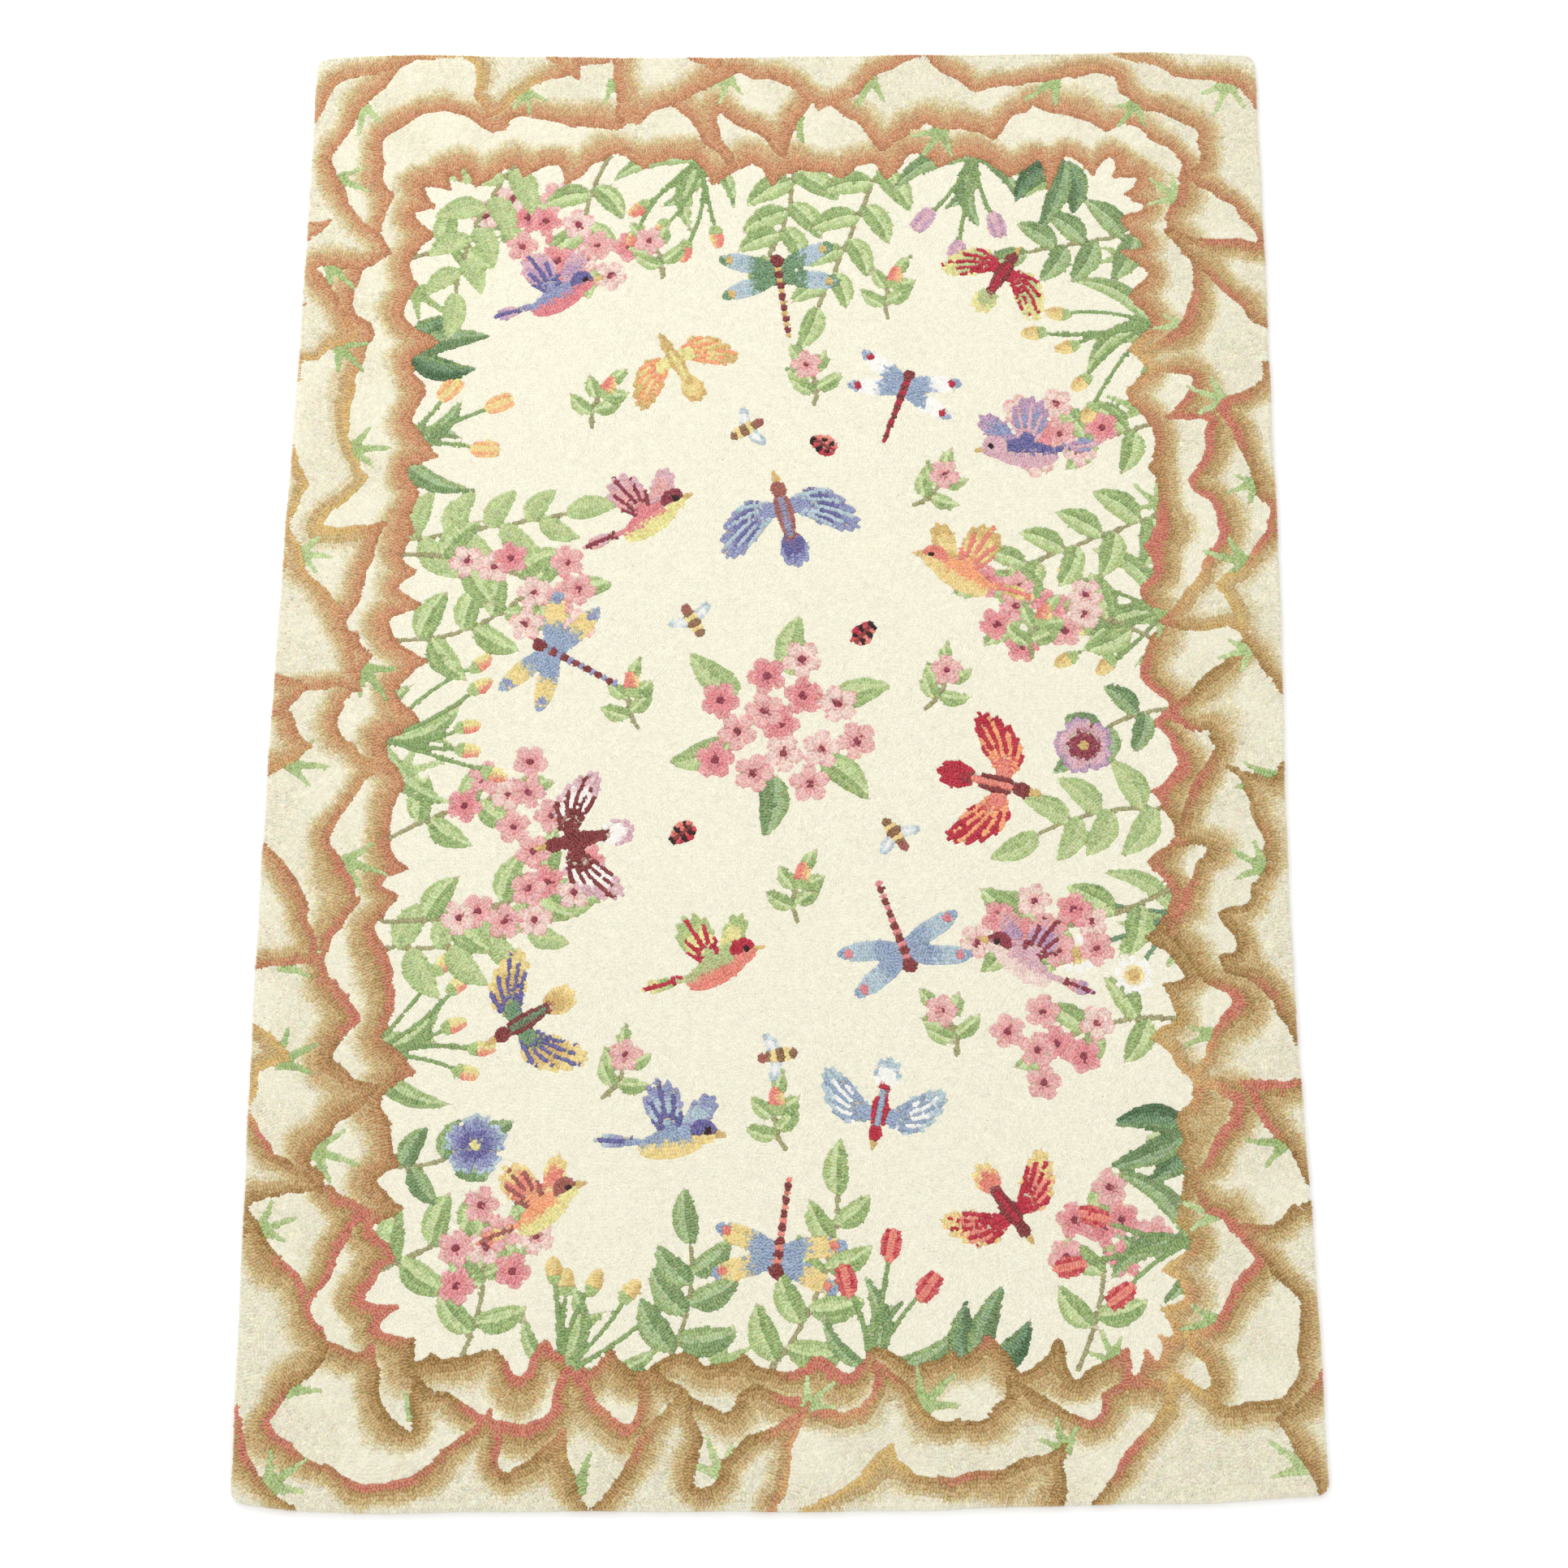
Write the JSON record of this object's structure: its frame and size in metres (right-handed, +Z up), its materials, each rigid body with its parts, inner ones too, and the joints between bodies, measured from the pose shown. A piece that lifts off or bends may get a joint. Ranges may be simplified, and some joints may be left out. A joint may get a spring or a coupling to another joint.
{
  "type": "hooked rug",
  "caption": "Flat rectangular hooked wool rug with low loop pile, cream field and marbled border, for laying on a floor.",
  "frame": {"origin": "under the middle of the rug's bounding box, on the floor", "axes": "+Y along the length towards the far short side, +X across the width, +Z up out of the pile"},
  "size_m": [1.2332, 1.8438, 0.01],
  "materials": {
    "hooked_wool": "matt wool loop pile, warm cream field with a border in rust, ochre, tan and sage"
  },
  "bodies": {
    "root": {"rug": "hooked_wool"}
  },
  "joints": []
}
